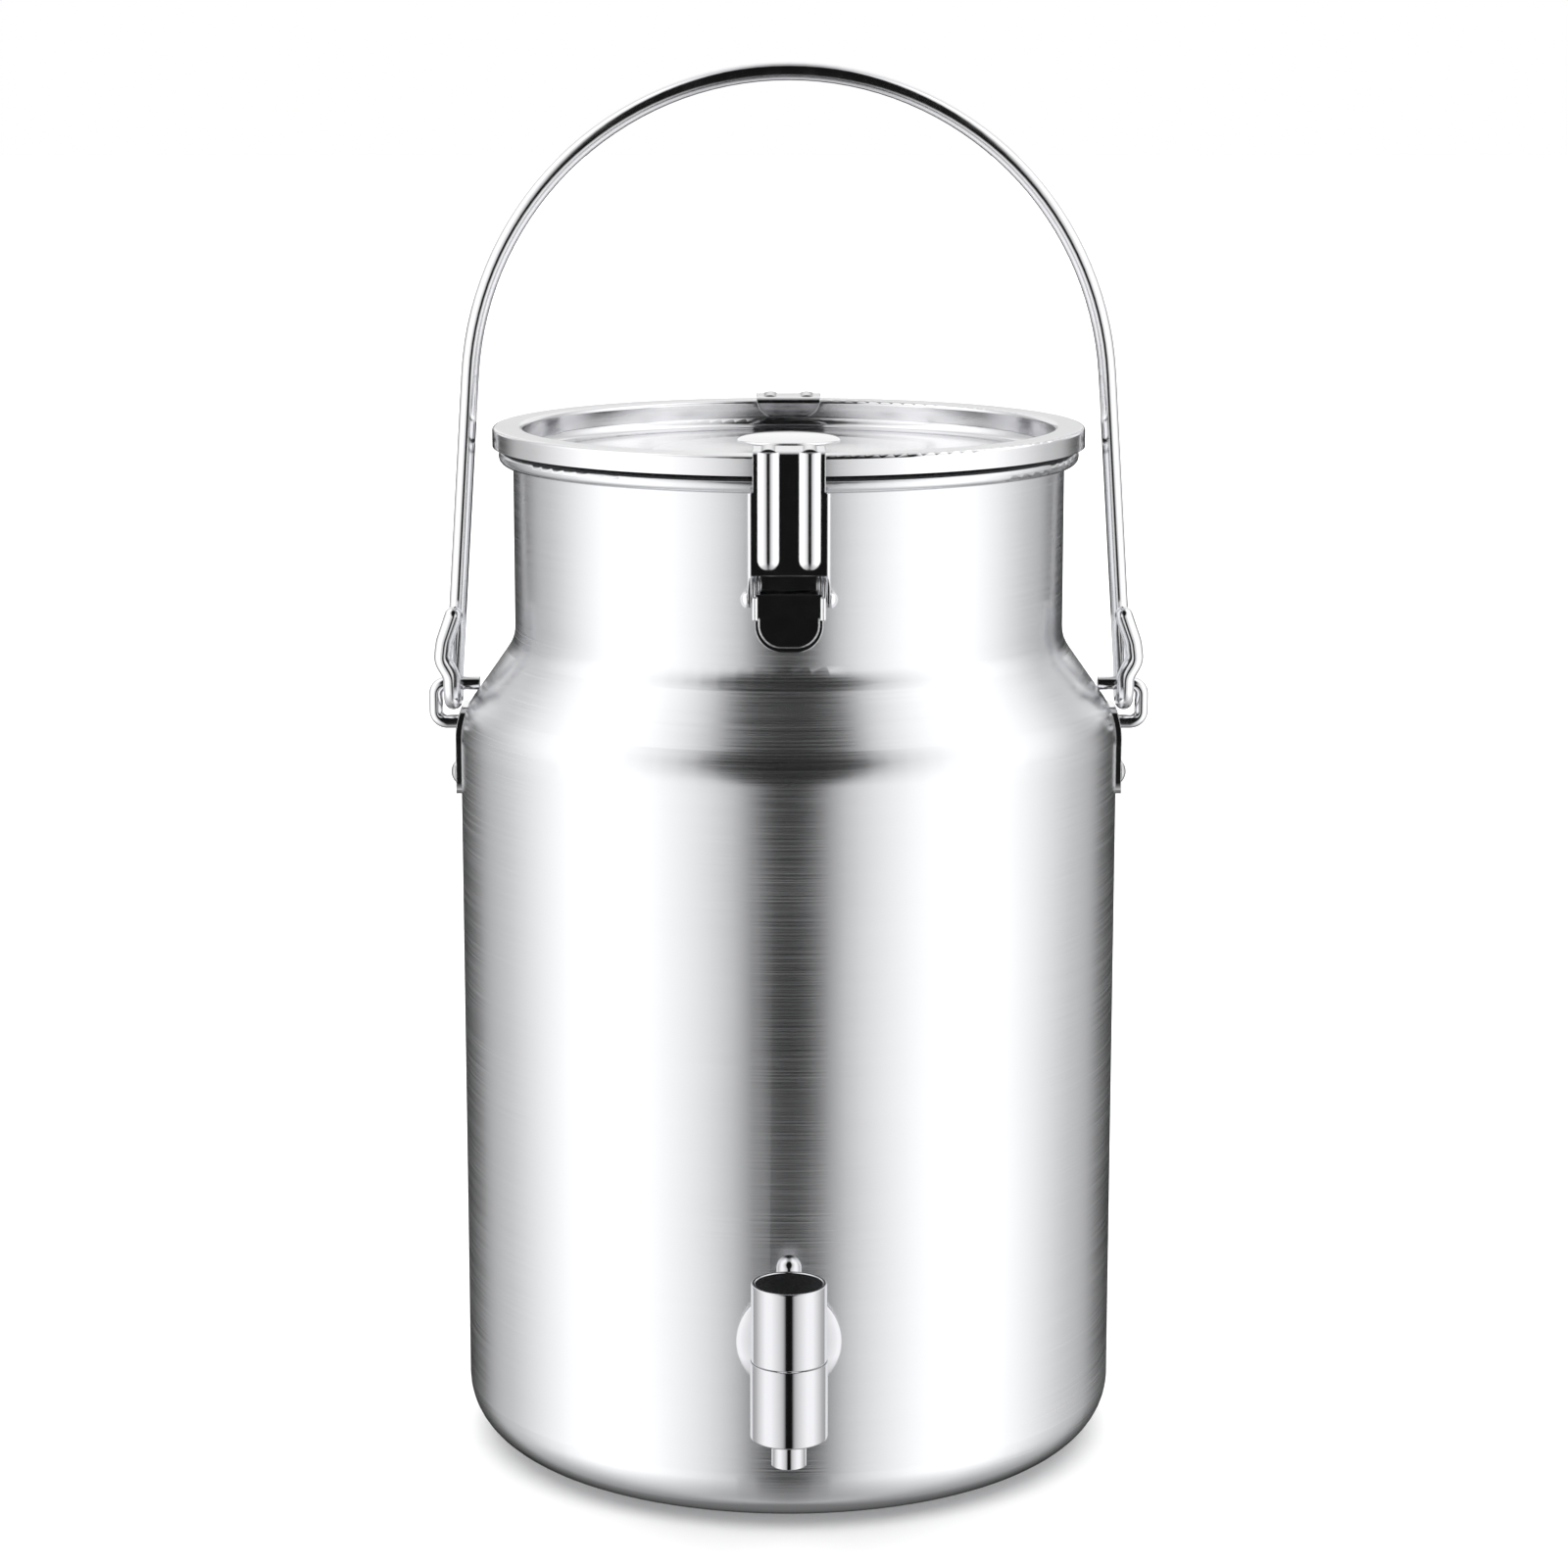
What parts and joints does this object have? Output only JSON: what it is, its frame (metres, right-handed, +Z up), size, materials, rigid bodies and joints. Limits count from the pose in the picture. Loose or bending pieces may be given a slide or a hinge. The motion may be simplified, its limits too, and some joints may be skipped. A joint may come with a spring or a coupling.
{
  "type": "milk can",
  "caption": "Lidded round stainless steel milk can with a narrower neck, toggle latches, a swinging wire bail and a tap at the foot.",
  "frame": {"origin": "middle of the base, where the can stands", "axes": "+Z up along the can's axis; -Y towards the tap and the front latch; the bail's lugs on +X and -X"},
  "size_m": [0.2636, 0.2832, 0.505],
  "materials": {
    "brushed_steel": "brushed",
    "polished_steel": "polished",
    "rubber": "matte"
  },
  "bodies": {
    "can": {"can_body": "brushed_steel", "right_lug_plate": "polished_steel", "right_lug_eye": "polished_steel", "right_lug_rivets": "polished_steel", "left_lug_plate": "polished_steel", "left_lug_eye": "polished_steel", "left_lug_rivets": "polished_steel", "front_latch_bracket": "polished_steel", "front_latch_rivets": "polished_steel", "rear_latch_bracket": "polished_steel", "rear_latch_rivets": "polished_steel", "lid_pan": "polished_steel", "lid_gasket": "rubber", "lid_knob": "polished_steel", "lid_knob_stud": "polished_steel", "lid_knob_washer": "polished_steel", "lid_knob_nut": "polished_steel", "tap_flange": "polished_steel", "tap_outer_washer": "rubber", "tap_inner_washer": "rubber", "tap_shank": "polished_steel", "tap_nut": "polished_steel", "tap_barrel": "polished_steel", "tap_spout": "polished_steel"},
    "bail": {"bail_handle": "polished_steel"},
    "front_lever": {"front_latch_lever": "polished_steel", "front_latch_lever_pins": "polished_steel"},
    "front_hook": {"front_latch_hook": "polished_steel", "front_latch_hook_pins": "polished_steel"},
    "rear_lever": {"rear_latch_lever": "polished_steel", "rear_latch_lever_pins": "polished_steel"},
    "rear_hook": {"rear_latch_hook": "polished_steel", "rear_latch_hook_pins": "polished_steel"},
    "tap_top": {"tap_stem": "polished_steel", "tap_o_ring": "rubber", "tap_knob": "polished_steel", "tap_knob_screw": "polished_steel", "tap_knob_cap": "polished_steel", "tap_knob_lever": "polished_steel"}
  },
  "joints": [
    {"name": "bail_swing", "type": "hinge", "parent": "can", "child": "bail", "pos_m": [0, 0, 0.2812], "axis": [1, 0, 0], "range_deg": [-90, 90]},
    {"name": "front_lever_swing", "type": "hinge", "parent": "can", "child": "front_lever", "pos_m": [0, -0.1044, 0.332], "axis": [-1, 0, 0], "range_deg": [0, 110]},
    {"name": "front_hook_swing", "type": "hinge", "parent": "front_lever", "child": "front_hook", "pos_m": [0, -0.104, 0.327], "axis": [1, 0, 0], "range_deg": [0, 110]},
    {"name": "rear_lever_swing", "type": "hinge", "parent": "can", "child": "rear_lever", "pos_m": [0, 0.1044, 0.332], "axis": [1, 0, 0], "range_deg": [0, 110]},
    {"name": "rear_hook_swing", "type": "hinge", "parent": "rear_lever", "child": "rear_hook", "pos_m": [0, 0.104, 0.327], "axis": [-1, 0, 0], "range_deg": [0, 110]},
    {"name": "tap_turn", "type": "hinge", "parent": "can", "child": "tap_top", "pos_m": [0, -0.15, 0.0735], "axis": [0, 0, 1], "range_deg": [0, 90]}
  ],
  "couplings": [
    {"joint": "front_hook_swing", "follows": "front_lever_swing", "ratio": 1},
    {"joint": "rear_hook_swing", "follows": "rear_lever_swing", "ratio": 1}
  ]
}
